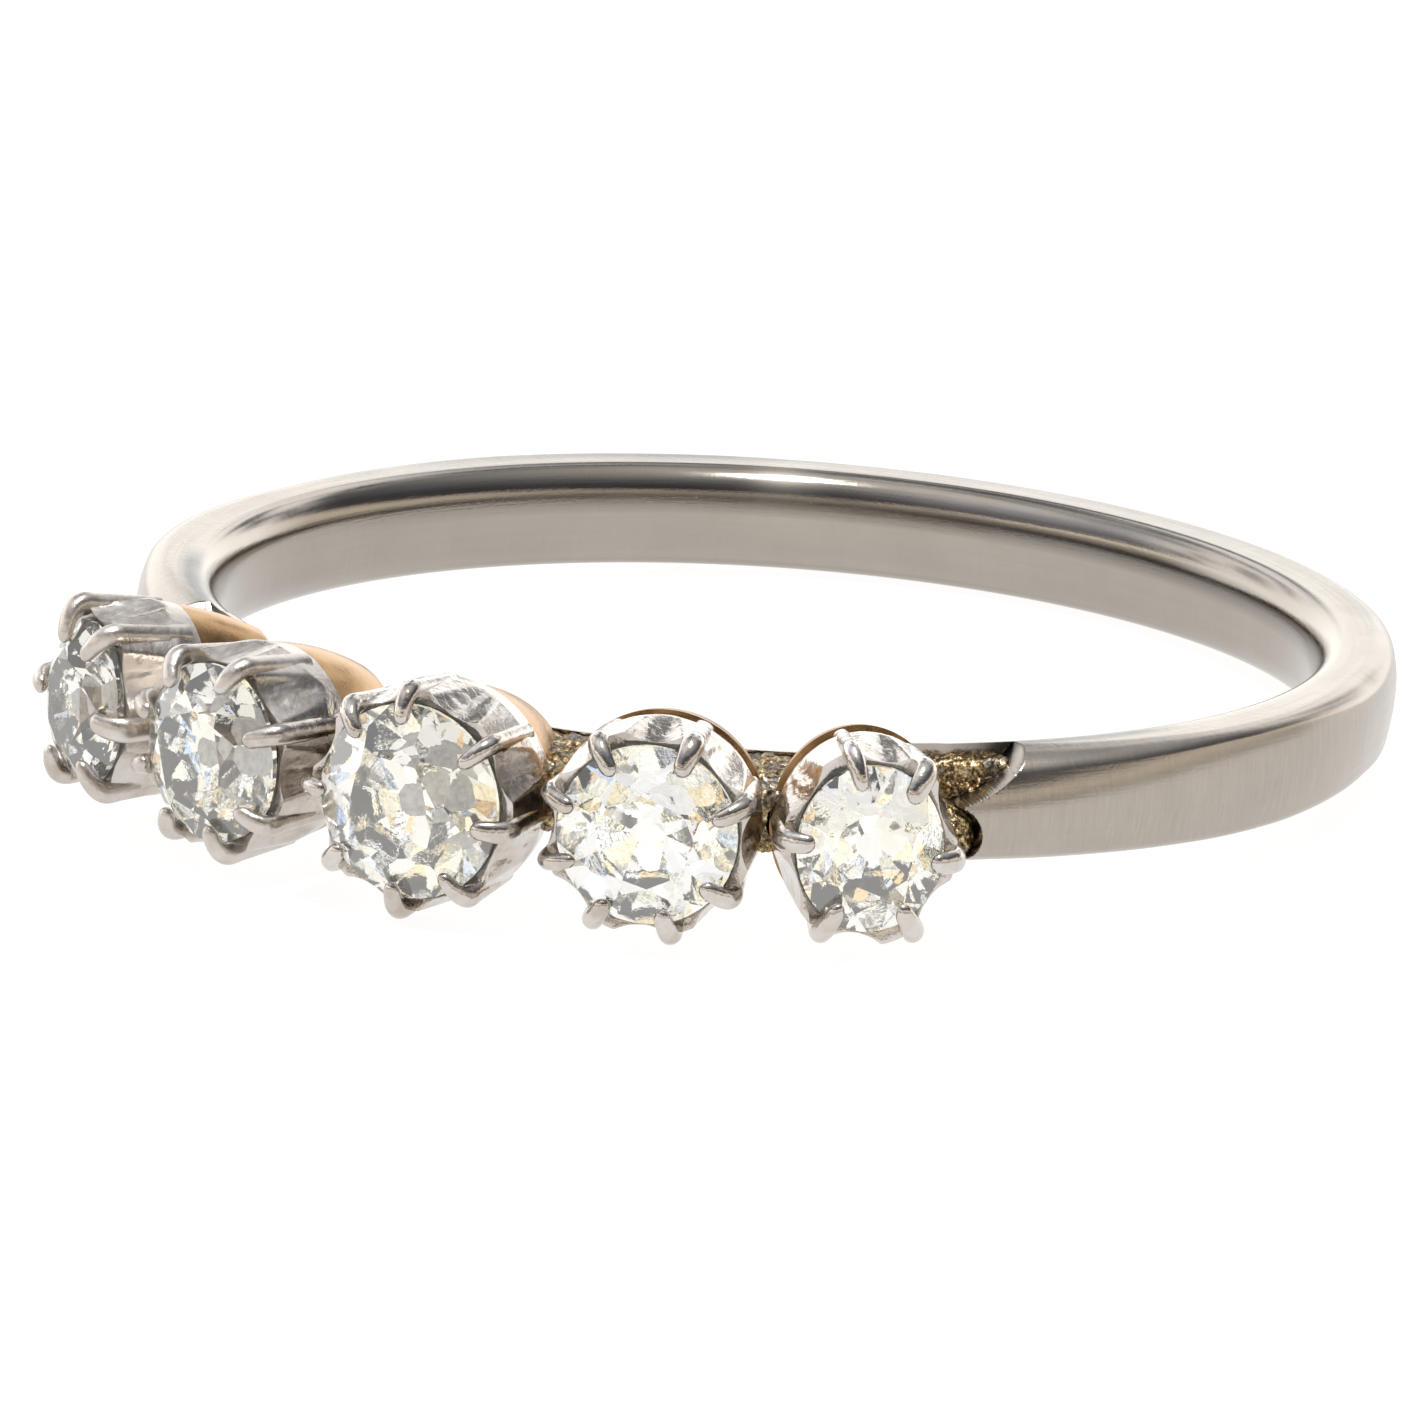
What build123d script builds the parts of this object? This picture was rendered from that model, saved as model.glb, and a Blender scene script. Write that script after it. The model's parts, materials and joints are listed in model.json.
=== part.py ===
from build123d import *
from functools import cache
from math import asin, atan2, cos, degrees, pi, radians, sin, tan
import os

# Five stone ring. All lengths are millimetres and all angles are degrees.
# The origin is the centre of the finger hole, +Z runs along the finger, the stones face -Y.

# Finger hole and band
finger_radius = 8.6
band_thickness = 1.3
band_width_back = 1.68
band_width_front = 1.74
band_dome = 0.16
band_edge_round = 0.34

# Thin rail that is left of the band under the stones, and its light holes
rail_thickness = 0.4
rail_width = 1.36
rail_narrow_angle = 36
light_hole_radius = 0.55

# Shoulder point beside each end collet, between an upper and a lower scoop
# The scoops' radii and heights are shares of half the band's width
shoulder_tip_angle = 9.2
upper_scoop = {"radius": 1.32, "turn": -1.2, "height": 1.61}
lower_scoop = {"radius": 0.575, "turn": -0.4, "height": -0.483}

# Stones: girdle radii, end stones stretched along the finger, and shares of the girdle radius
centre_stone_radius = 1.48
second_stone_radius = 1.36
end_stone_radius = 1.1
end_stone_stretch = 1.155
girdle_height_over_finger = 3.3
girdle_thickness = 0.08
crown_angle = 36
crown_break_angle = 41
star_angle = 21
pavilion_angle = 41
pavilion_break_angle = 43.5
table_share = 0.5
culet_share = 0.13
facet_count = 8

# Collets: a fluted wall with claws, cut away under the stone
collet_flare = 0.22
collet_depth = 1.45
flute_depth = 1.05
flute_radius = 0.8
flute_edge = 0.03
collet_foot_inset = 0.08
collet_top_drop = 0.1
collet_hole_share = 0.62
collet_gap = 0.12
claw_radius = 0.16
claw_tip_radius = 0.1
claw_reach = 0.27
claw_bulge = 0.03
claw_bend_height = 0.17
claw_root_height = -1.1
many_claws = 8
few_claws = 6
centre_claw_turn = 0
second_claw_turn = 22.5
end_claw_turn = -6

# Gold cups and what joins them
cup_foot_share = 0.66
cup_belly_drop = 0.55
cup_belly_inset = 0.12
strip_thickness = 0.2
strip_width = 1.2
web_radius = 0.3
web_top_over_rail = 1.1
collar_thickness = 0.7
collar_top = 0.16
collar_bottom = -0.68
bead_radius = 0.2
bead_turn = 0.5
bead_height = -0.52

# Clearances
stone_clearance = 0.03
joint_gap = 0.03

# Sizes that follow
outer_radius = finger_radius + band_thickness
rail_radius = finger_radius + rail_thickness
girdle_radius = finger_radius + girdle_height_over_finger
rim_radius = girdle_radius - flute_depth
facet_spread = 1 / cos(pi / (2 * facet_count))

# How far a cutting shape runs past the solid that it cuts
past = 1.0


def angle_between(first_radius, second_radius):
    """Angle round the finger between two neighbouring collets of these stone radii."""
    chord = first_radius + second_radius + 2 * collet_flare + collet_gap
    return 2 * degrees(asin(chord / (2 * rim_radius)))


second_angle = angle_between(centre_stone_radius, second_stone_radius)
end_angle = second_angle + angle_between(second_stone_radius, end_stone_radius)
shoulder_angle = end_angle + shoulder_tip_angle
collar_end_angle = shoulder_angle - degrees(2 * joint_gap / rail_radius)

# Stones from left to right as seen from the front, each with its collet's claws
end_stone = {"radius": end_stone_radius, "stretch": end_stone_stretch,
             "claws": few_claws, "first": end_claw_turn}
second_stone = {"radius": second_stone_radius, "stretch": 1,
                "claws": many_claws, "first": second_claw_turn}
centre_stone = {"radius": centre_stone_radius, "stretch": 1,
                "claws": many_claws, "first": centre_claw_turn}
stones = [
    {"turn": -end_angle, **end_stone},
    {"turn": -second_angle, **second_stone},
    {"turn": 0, **centre_stone},
    {"turn": second_angle, **second_stone},
    {"turn": end_angle, **end_stone},
]


def seat(turn, distance):
    """Plane that faces outwards from the finger hole at this angle and distance."""
    outwards = Vector(sin(radians(turn)), -cos(radians(turn)), 0)
    along = Vector(cos(radians(turn)), sin(radians(turn)), 0)
    return Plane(origin=outwards * distance, x_dir=along, z_dir=outwards)


def band_half_width(y):
    """Half of the band's width, which grows evenly from the back to the front."""
    share = (outer_radius - y) / (2 * outer_radius)
    return (band_width_back + (band_width_front - band_width_back) * share) / 2


# Shank: a domed band, narrower at the back, thinned to a rail under the stones
half_front = band_width_front / 2
with BuildPart() as shank:
    with BuildSketch(Plane.XZ):
        with BuildLine():
            Polyline(
                (outer_radius - band_dome, half_front),
                (finger_radius, half_front),
                (finger_radius, -half_front),
                (outer_radius - band_dome, -half_front),
            )
            ThreePointArc(
                (outer_radius - band_dome, -half_front),
                (outer_radius, 0),
                (outer_radius - band_dome, half_front),
            )
        make_face()
    revolve(axis=Axis.Z)
    with BuildSketch(Plane.YZ):
        front_y = -outer_radius - past
        back_y = outer_radius + past
        Polygon(
            (front_y, band_half_width(front_y)),
            (back_y, band_half_width(back_y)),
            (back_y, -band_half_width(back_y)),
            (front_y, -band_half_width(front_y)),
            align=None,
        )
    extrude(amount=outer_radius + past, both=True, mode=Mode.INTERSECT)

    # The outer part of the band stops at the shoulders
    with BuildSketch(Plane.XZ.rotated((0, 0, -90 - shoulder_angle))):
        with Locations((rail_radius, 0)):
            Rectangle(band_thickness, band_width_front + past, align=(Align.MIN, Align.CENTER))
    revolve(axis=Axis.Z, revolution_arc=2 * shoulder_angle, mode=Mode.SUBTRACT)

    # Two scoops shape each shoulder to a point, down to the rail
    with BuildPart(mode=Mode.PRIVATE) as scoops:
        for side in (-1, 1):
            for scoop in (upper_scoop, lower_scoop):
                with BuildSketch(seat(side * (shoulder_angle + scoop["turn"]), finger_radius)):
                    with Locations((0, scoop["height"] * half_front)):
                        Circle(scoop["radius"] * half_front)
                extrude(amount=band_thickness + past)
        Cylinder(rail_radius, 2 * band_width_front + 2 * past, mode=Mode.SUBTRACT)
    add(scoops.part, mode=Mode.SUBTRACT)

    # The four longest edges run round the finger hole and round the outside
    fillet(shank.edges().sort_by(SortBy.LENGTH)[-4:], radius=band_edge_round)

    # Under the stones the rail is narrower than the band
    with BuildSketch(Plane.XZ.rotated((0, 0, -90 - rail_narrow_angle))):
        inside = finger_radius - past
        with Locations((inside, rail_width / 2), (inside, -rail_width / 2 - past)):
            Rectangle(rail_thickness + 2 * past, past, align=Align.MIN)
    revolve(axis=Axis.Z, revolution_arc=2 * rail_narrow_angle, mode=Mode.SUBTRACT)

    # One light hole under each stone
    for row in stones:
        with BuildSketch(seat(row["turn"], 0)):
            Circle(light_hole_radius)
        extrude(amount=girdle_radius, mode=Mode.SUBTRACT)
shank.part.label = "shank"


# Gallery: gold cups on a strip, soldered to each other and to the shoulders
cup_top = -collet_depth - joint_gap
cup_foot = rail_radius - girdle_radius - strip_thickness
strip_inner = rail_radius + joint_gap
strip_outer = strip_inner + strip_thickness


@cache
def cup_solid(radius, stretch):
    """One rounded cup, measured from the middle of its stone's girdle."""
    mouth = radius + collet_flare - collet_foot_inset
    with BuildPart() as cup:
        with BuildSketch(Plane.XZ):
            with BuildLine():
                ThreePointArc(
                    (mouth, cup_top),
                    (mouth - cup_belly_inset, cup_top - cup_belly_drop),
                    (radius * cup_foot_share, cup_foot),
                )
                Polyline(
                    (radius * cup_foot_share, cup_foot),
                    (0, cup_foot),
                    (0, cup_top),
                    (mouth, cup_top),
                )
            make_face()
        revolve(axis=Axis.Z)
        if stretch != 1:
            scale(by=(1, stretch, 1))
    return cup.part


def cup_hole(radius):
    """The tapered hole down through a cup, from under the stone to the light hole."""
    with BuildPart() as hole:
        with BuildSketch(Plane.XY.offset(cup_top)):
            Circle(radius * collet_hole_share)
        with BuildSketch(Plane.XY.offset(cup_foot - strip_thickness)):
            Circle(light_hole_radius)
        loft()
    return hole.part


with BuildPart() as gallery:
    with BuildSketch(Plane.XZ.rotated((0, 0, -90 - collar_end_angle))):
        with Locations((strip_outer, 0)):
            Rectangle(2 * strip_thickness, strip_width, align=(Align.MAX, Align.CENTER))
    revolve(axis=Axis.Z, revolution_arc=2 * collar_end_angle)
    for row in stones:
        with Locations(seat(row["turn"], girdle_radius).location):
            add(cup_solid(row["radius"], row["stretch"]))

    # Solder webs between neighbouring cups
    for before, after in zip(stones, stones[1:]):
        with BuildSketch(seat((before["turn"] + after["turn"]) / 2, finger_radius)):
            Circle(web_radius)
        extrude(amount=rail_thickness + web_top_over_rail)

    # A collar and a bead of gold fill the space up to each shoulder
    for side in (-1, 1):
        first_turn = min(side * end_angle, side * collar_end_angle)
        with BuildSketch(Plane.XZ.rotated((0, 0, -90 + first_turn))):
            with Locations((rail_radius, collar_bottom)):
                Rectangle(collar_thickness, collar_top - collar_bottom, align=Align.MIN)
        revolve(axis=Axis.Z, revolution_arc=collar_end_angle - end_angle)
        bead_seat = seat(side * (collar_end_angle + bead_turn), rail_radius + collar_thickness)
        with Locations(bead_seat.location):
            with Locations((0, bead_height, 0)):
                Sphere(bead_radius)

    for row in stones:
        with Locations(seat(row["turn"], girdle_radius).location):
            add(cup_hole(row["radius"]), mode=Mode.SUBTRACT)
    Cylinder(strip_inner, band_width_front + past, mode=Mode.SUBTRACT)
gallery.part.label = "gallery"


# Collets: each is made with its stone's girdle at the origin, then set in its place
def claw_solid(radius, stretch):
    """One claw: a round wire up the wall, bent over the stone's edge and tapered to its tip."""
    slope = radians(crown_break_angle)
    tip_distance = radius - claw_reach
    crown_rise = (radius - tip_distance / facet_spread) * stretch * tan(slope)
    tip_rise = girdle_thickness / 2 + (claw_tip_radius + stone_clearance) / cos(slope)
    bend_distance = radius + stone_clearance + claw_radius + claw_bulge
    root = Vector(radius + collet_flare - claw_radius, 0, claw_root_height)
    bend = Vector(bend_distance, 0, claw_bend_height)
    tip = Vector(tip_distance, 0, crown_rise + tip_rise)
    with BuildPart() as claw:
        with BuildSketch(Plane(origin=root, z_dir=bend - root)):
            Circle(claw_radius)
        extrude(amount=(bend - root).length)
        with Locations(bend):
            Sphere(claw_radius)
        with BuildSketch(Plane(origin=bend, x_dir=(0, 1, 0), z_dir=tip - bend)):
            Circle(claw_radius)
        with BuildSketch(Plane(origin=tip, x_dir=(0, 1, 0), z_dir=tip - bend)):
            Circle(claw_tip_radius)
        loft()
        with Locations(tip):
            Sphere(claw_tip_radius)
    return claw.part


@cache
def collet_solid(radius, stretch, claws, first):
    """A fluted wall with claws, hollowed to the stone's shape."""
    rim = radius + collet_flare
    foot = rim - collet_foot_inset
    hole = radius * collet_hole_share
    wall_top = -girdle_thickness / 2 - collet_top_drop
    slope = tan(radians(pavilion_break_angle)) * stretch
    seat_radius = (radius - collet_top_drop / slope) * facet_spread + stone_clearance
    seat_bottom = wall_top - (seat_radius - hole) / facet_spread * slope
    flute_tilt = degrees(atan2(collet_flare - flute_edge, flute_depth))
    flute_axis = radius + flute_edge + flute_radius / cos(radians(flute_tilt))
    flute_length = 2 * (collet_depth + past)
    claw = claw_solid(radius, stretch)
    with BuildPart() as collet:
        with BuildSketch(Plane.XZ):
            Polygon(
                (hole, -collet_depth),
                (foot, -collet_depth),
                (rim, -flute_depth),
                (rim, wall_top),
                (seat_radius, wall_top),
                (hole, seat_bottom),
                align=None,
            )
        revolve(axis=Axis.Z)
        with PolarLocations(flute_axis, claws, start_angle=first + 180 / claws):
            Cylinder(
                flute_radius,
                flute_length,
                rotation=(0, -flute_tilt, 0),
                mode=Mode.SUBTRACT,
            )
        with PolarLocations(0, claws, start_angle=first):
            add(claw)
        if stretch != 1:
            scale(by=(1, stretch, 1))
    return collet.part


# Stones: a round or slightly long girdle, ground flat ring by ring
def girdle_outline(radius, stretch):
    """Outline of the stone's widest part, round or slightly long."""
    if stretch == 1:
        return Circle(radius)
    return Ellipse(radius, radius * stretch)


@cache
def stone_solid(radius, stretch):
    """An old cut: table, stars, kites and breaks above the girdle, mains, halves and culet below."""
    table_height = radius * (1 - table_share) * tan(radians(crown_angle))
    table_apothem = radius * table_share * cos(pi / facet_count)
    star_apothem = table_apothem + table_height / tan(radians(star_angle))
    pavilion_depth = radius * (1 - culet_share) * tan(radians(pavilion_angle))
    # Rings of facets: the share of a step that each is turned, and its distance at the girdle
    mains = {"count": facet_count, "shift": 0, "reach": radius}
    breaks = {"count": 2 * facet_count, "shift": 0.5, "reach": radius}
    stars = {"count": facet_count, "shift": 0.5, "reach": star_apothem}
    crown = {"side": 1, "height": table_height, "rings": [
        {**mains, "slope": crown_angle},
        {**breaks, "slope": crown_break_angle},
        {**stars, "slope": star_angle},
    ]}
    pavilion = {"side": -1, "height": pavilion_depth, "rings": [
        {**mains, "slope": pavilion_angle},
        {**breaks, "slope": pavilion_break_angle},
    ]}
    halves = []
    for cut in (crown, pavilion):
        girdle_plane = Plane.XY.offset(cut["side"] * girdle_thickness / 2)
        with BuildPart() as half:
            with BuildSketch(girdle_plane):
                girdle_outline(radius, stretch)
            extrude(amount=cut["side"] * cut["height"])
            for ring in cut["rings"]:
                corner = ring["reach"] / cos(pi / ring["count"])
                step = 2 * pi / ring["count"]
                turns = [step * (i + ring["shift"] + 1 / 2) for i in range(ring["count"])]
                with BuildSketch(girdle_plane):
                    corners = [(corner * cos(t), corner * sin(t) * stretch) for t in turns]
                    Polygon(*corners, align=None)
                extrude(
                    amount=cut["side"] * cut["height"],
                    taper=90 - ring["slope"],
                    mode=Mode.INTERSECT,
                )
        halves.append(half.part)
    with BuildPart() as stone:
        with BuildSketch(Plane.XY.offset(-girdle_thickness / 2)):
            girdle_outline(radius, stretch)
        extrude(amount=girdle_thickness)
        add(halves)
    return stone.part


os.makedirs("parts", exist_ok=True)
export_step(shank.part, "parts/shank.step")
export_step(gallery.part, "parts/gallery.step")
for number, row in enumerate(stones, start=1):
    place = seat(row["turn"], girdle_radius).location
    with BuildPart() as collet:
        with Locations(place):
            add(collet_solid(row["radius"], row["stretch"], row["claws"], row["first"]))
    collet.part.label = f"collet_{number}"
    export_step(collet.part, f"parts/collet_{number}.step")
    with BuildPart() as stone:
        with Locations(place):
            add(stone_solid(row["radius"], row["stretch"]))
    stone.part.label = f"stone_{number}"
    export_step(stone.part, f"parts/stone_{number}.step")
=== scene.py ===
# %% [markdown]
# # A five stone ring
# The real ring is a platinum band, a yellow gold gallery soldered under the head, five fluted
# platinum collets and five old-cut diamonds. The construction model holds the ring's main sizes.
# This lesson dresses it: each metal piece becomes a dense, slightly uneven surface worked out
# from its sizes, each stone is ground facet by facet, and each gets its own finish.
# The first cell loads the imported model as a fixed frame, and a helper reads the box that a part fills.

import json

import bpy
import numpy as np
from mathutils import Matrix, Vector


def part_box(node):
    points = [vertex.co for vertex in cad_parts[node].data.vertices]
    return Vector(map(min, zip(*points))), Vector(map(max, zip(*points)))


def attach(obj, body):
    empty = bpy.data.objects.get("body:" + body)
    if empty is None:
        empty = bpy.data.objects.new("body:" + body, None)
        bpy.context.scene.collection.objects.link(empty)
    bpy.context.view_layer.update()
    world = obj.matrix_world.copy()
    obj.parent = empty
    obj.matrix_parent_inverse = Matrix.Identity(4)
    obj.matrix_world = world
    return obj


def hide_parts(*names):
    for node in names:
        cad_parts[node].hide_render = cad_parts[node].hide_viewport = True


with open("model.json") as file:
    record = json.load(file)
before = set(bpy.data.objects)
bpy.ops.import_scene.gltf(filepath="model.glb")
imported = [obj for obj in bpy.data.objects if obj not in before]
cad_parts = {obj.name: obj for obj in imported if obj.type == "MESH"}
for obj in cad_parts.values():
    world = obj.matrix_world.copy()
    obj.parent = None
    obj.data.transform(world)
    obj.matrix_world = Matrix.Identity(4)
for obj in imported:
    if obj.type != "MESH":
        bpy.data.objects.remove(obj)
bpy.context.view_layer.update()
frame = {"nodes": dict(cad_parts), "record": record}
print("nodes", sorted(frame["nodes"]))

# %% [markdown]
# ## Sizes
# A jeweller thinks in millimetres, and so do the formulas below. They turn into metres only
# when a mesh is made. The finger hole and the band's outer radius are read from the frame.
# Most of the others are the construction model's own. The band's worn edges, the shoulders'
# upper scoops and three cups' lips were changed a little afterwards, to come nearer to the
# photograph.
# The origin is the centre of the finger hole, +Z runs along the finger and the head faces -Y.

# %% Sizes of the band and its shoulders
mm = 0.001
finger_radius = frame["record"]["mounts"][0]["dims"]["r_mm"]
outer_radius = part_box("shank")[1].y / mm
rail_radius = finger_radius + 0.4
band_half_front = 0.87
band_half_back = 0.84
band_dome = {"above": 0.27, "below": 0.16}
band_apex = {"front": -0.08, "side": 0.23, "from": 48, "to": 76}
band_inner_round = {"depth": 0.34, "depth_at_rail": 0.26, "height": 0.5}
band_comfort = 0.09
band_outer_round = {"turn": (48, 72, 82, 100, 125), "height": (0.32, 0.15, 0.15, 0.28, 0.15),
                    "depth": (0.46, 0.2, 0.2, 0.4, 0.18)}
light_hole_radius = 0.55
shoulder_tip_angle = 9.2
upper_scoop = {"radius": 2.6, "turn": -4.3, "height": 2.56}
left_scoop_shift = -3.6
lower_scoop = {"radius": 0.5, "turn": -0.4, "height": -0.42}
shoulder_bevel = {"width": 0.6, "depth": 0.02}
rail_half_width = 0.68
rail_narrow_angle = 36
print("finger hole", 2 * finger_radius, "mm, outside", round(2 * outer_radius, 2), "mm")

# %% Sizes of the stones and their collets
girdle_radius = finger_radius + 3.3
girdle_thickness = 0.08
collet_flare = 0.22
collet_gap = 0.12
collet_depth = 1.45
collet_foot_inset = 0.08
collet_hole_share = 0.62
flute_depth = 1.05
flute_radius = 0.8
flute_reach = 1.4
flute_edge = 0.03
rim_radius = girdle_radius - flute_depth
centre_size = {"radius": 1.48, "stretch": 1, "claws": 8, "first": 0,
               "pushed": (-6, -5, 3, -6, 0, -2, -2, -6)}
second_size = {"radius": 1.36, "stretch": 1, "claws": 8, "first": 22.5,
               "pushed": (0, 0, 9, 4, -3, -6, -6, -10)}
end_size = {"radius": 1.1, "stretch": 1.155, "claws": 6, "first": -6, "pushed": (1, 0, -8, 2, 5, 10)}


def angle_between(one, other):
    """Angle round the finger between neighbouring rims: twice the arcsine of half their spacing
    over the radius that the rims stand on."""
    spacing = one["radius"] + other["radius"] + 2 * collet_flare + collet_gap
    return 2 * np.degrees(np.arcsin(spacing / (2 * rim_radius)))


second_angle = angle_between(centre_size, second_size)
end_angle = second_angle + angle_between(second_size, end_size)
shoulder_angle = end_angle + shoulder_tip_angle
stones = [
    {"number": 1, "turn": -end_angle, **end_size},
    {"number": 2, "turn": -second_angle, **second_size},
    {"number": 3, "turn": 0, **centre_size},
    {"number": 4, "turn": second_angle, **second_size},
    {"number": 5, "turn": end_angle, **end_size},
]
print("stones sit at", [round(row["turn"], 2) for row in stones], "degrees")

# %% [markdown]
# ## Surfaces from arrays
# Every metal piece here is a stack of closed rings of points, worked out as one array of rows
# and columns. Neighbouring points make four-cornered faces. If the rows close on themselves too,
# the piece is a ring like the band or a collet's wall. If not, each end is closed by a fan of
# triangles round one middle point. A closed surface has a signed volume, and where that comes
# out negative the faces are turned round, so that they always point outwards.

# %% Turn an array of points into a mesh
def closed_faces(rows, columns, rows_wrap):
    """Corner numbers of the faces between neighbouring points of a grid, and of the end fans."""
    row = np.arange(rows if rows_wrap else rows - 1)[:, None]
    column = np.arange(columns)[None, :]
    after_row = (row + 1) % rows
    after_column = (column + 1) % columns
    corners = (row * columns + column, row * columns + after_column,
               after_row * columns + after_column, after_row * columns + column)
    quads = np.stack(corners, axis=-1).reshape(-1, 4)
    if rows_wrap:
        return quads, np.zeros((0, 3), int)
    first = np.arange(columns)
    second = (first + 1) % columns
    last_row = (rows - 1) * columns
    start_fan = np.stack([np.full(columns, rows * columns), second, first], axis=-1)
    end_fan = np.stack([np.full(columns, rows * columns + 1), last_row + first, last_row + second], axis=-1)
    return quads, np.concatenate([start_fan, end_fan])


def signed_volume(points, quads, triangles):
    """Six times the enclosed volume: the sum of the triple products of each triangle's corners."""
    halves = np.concatenate([quads[:, [0, 1, 2]], quads[:, [0, 2, 3]], triangles])
    a, b, c = (points[halves[:, k]] for k in range(3))
    return float(np.einsum("ij,ij->", a, np.cross(b, c)))


def fill_mesh(mesh, points, quads, triangles):
    """Puts points, in millimetres, and faces into a mesh as whole arrays."""
    loops = np.concatenate([quads.ravel(), triangles.ravel()])
    totals = np.concatenate([np.full(len(quads), 4), np.full(len(triangles), 3)])
    starts = np.concatenate([[0], np.cumsum(totals)[:-1]])
    mesh.vertices.add(len(points))
    mesh.vertices.foreach_set("co", (points * mm).astype(np.float32).ravel())
    mesh.loops.add(len(loops))
    mesh.loops.foreach_set("vertex_index", loops.astype(np.int32))
    mesh.polygons.add(len(totals))
    mesh.polygons.foreach_set("loop_start", starts.astype(np.int32))
    mesh.update(calc_edges=True)
    mesh.validate()


def place(name, data):
    """An object in the scene for this mesh, camera or light."""
    placed = bpy.data.objects.new(name, data)
    bpy.context.scene.collection.objects.link(placed)
    return placed


def ring_stack(name, stacks, rows_wrap=False):
    """One object from arrays of shape (rows, columns, 3). Each array becomes a closed shell."""
    all_points, all_quads, all_triangles = [], [], []
    count = 0
    for stack in stacks:
        rows, columns, _ = stack.shape
        quads, triangles = closed_faces(rows, columns, rows_wrap)
        points = stack.reshape(-1, 3)
        if not rows_wrap:
            points = np.concatenate([points, [stack[0].mean(0), stack[-1].mean(0)]])
        if signed_volume(points - points.mean(0), quads, triangles) < 0:
            quads = quads[:, ::-1]
            triangles = triangles[:, ::-1]
        all_points.append(points)
        all_quads.append(quads + count)
        all_triangles.append(triangles + count)
        count += len(points)
    mesh = bpy.data.meshes.new(name)
    fill_mesh(mesh, *(np.concatenate(part) for part in (all_points, all_quads, all_triangles)))
    return place(name, mesh)


def on_finger(points, turn):
    """Sets a stone's own points (across, along the finger, outwards from its girdle) at their turn
    round the finger: a rotation about the finger's axis after moving out by the girdle's radius."""
    angle = np.radians(turn)
    across, along, out = points[..., 0], points[..., 1], points[..., 2] + girdle_radius
    x = across * np.cos(angle) + out * np.sin(angle)
    y = across * np.sin(angle) - out * np.cos(angle)
    return np.stack([x, y, along], axis=-1)


def round_finger(turns, radii, heights):
    """Points at these angles from the head, distances from the finger's axis and heights."""
    angle = np.radians(turns)
    return np.stack([radii * np.sin(angle), -radii * np.cos(angle), heights + 0 * angle], axis=-1)


def soft_noise(u, v, seed):
    """Smooth unevenness between -1 and 1: a table of random numbers, blended between its points by
    the curve 3t^2 - 2t^3. It repeats every 64 units in u and in v."""
    table = np.random.default_rng(seed).uniform(-1, 1, (64, 64))
    i, j = np.floor(u).astype(int), np.floor(v).astype(int)
    s, t = u - i, v - j
    s = s * s * (3 - 2 * s)
    t = t * t * (3 - 2 * t)
    low = table[i % 64, j % 64] * (1 - s) + table[(i + 1) % 64, j % 64] * s
    high = table[i % 64, (j + 1) % 64] * (1 - s) + table[(i + 1) % 64, (j + 1) % 64] * s
    return low * (1 - t) + high * t


def eased(distance, width):
    """Climbs from 0 to 1 as a distance crosses nought, over this width, by 3t^2 - 2t^3."""
    t = np.clip(distance / width + 0.5, 0, 1)
    return t * t * (3 - 2 * t)


# %% [markdown]
# ## Joining and drilling
# A goldsmith solders claws to a collet and drills the light holes. The Boolean modifier does
# the same to closed surfaces. Its manifold solver is quick and leaves no stray faces, so the
# modifier is applied at once and the tool shape is deleted. Afterwards, edges sharper than a
# given angle stay crisp, and the rest is shaded as one smooth surface.

# %% Boolean helper and shading
def weld(piece, tool, operation):
    """Joins a closed tool shape to a piece, or cuts it away, and leaves a plain mesh."""
    modifier = piece.modifiers.new(operation.lower(), "BOOLEAN")
    modifier.solver = "MANIFOLD"
    modifier.operation = operation
    modifier.object = tool
    graph = bpy.context.evaluated_depsgraph_get()
    made = bpy.data.meshes.new_from_object(piece.evaluated_get(graph))
    piece.modifiers.clear()
    old = piece.data
    piece.data = made
    made.name = piece.name
    bpy.data.meshes.remove(old)
    bpy.data.objects.remove(tool)
    return piece


def shade(piece, sharp_degrees):
    """Smooth shading that keeps edges over this angle sharp."""
    piece.data.polygons.foreach_set("use_smooth", np.ones(len(piece.data.polygons), bool))
    piece.data.set_sharp_from_angle(angle=np.radians(sharp_degrees))
    piece.data.calc_loop_triangles()
    print(piece.name, "has", len(piece.data.loop_triangles), "triangles")
    return piece


# %% [markdown]
# ## The band
# The shank is one bar of platinum, bent round and soldered. Its section is a D: a nearly flat
# wall on the finger, gently domed outside, with every edge worn round. The dome's highest line
# lies low at the front and climbs towards the sides. That, and how round the edges are at each
# place, was chosen so that the dark stripe along the band falls where the photograph has it, and
# was not measured. Towards the head the band grows a little wider. In front of each shoulder the
# outer part stops in a point between two scoops, and only a thin rail runs on under the stones.
# A bent bar is the classic case of a profile carried along a path. Here the outside is a height
# field over angle and height, because that lets the scoops and the point be cut by the same
# smooth step function.

# %% Build the band
band_rows = 111
band_step = 1.25
scoop_edge = 0.05
scoop_fine_from = shoulder_angle - 0.35
scoop_fine_to = shoulder_angle + 12
scoop_columns = 150
band_wave = 0.004
rail_step = 0.12
rail_round_turns = 2


def band_half_width(turns):
    """Half of the width: it grows evenly from the back to the front, and steps down to the rail's
    half width under the stones."""
    share = (1 + np.cos(np.radians(turns))) / 2
    half = band_half_back + (band_half_front - band_half_back) * share
    outside = eased(np.radians(np.abs(turns) - rail_narrow_angle) * rail_radius, rail_step)
    return rail_half_width + (half - rail_half_width) * outside


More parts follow.
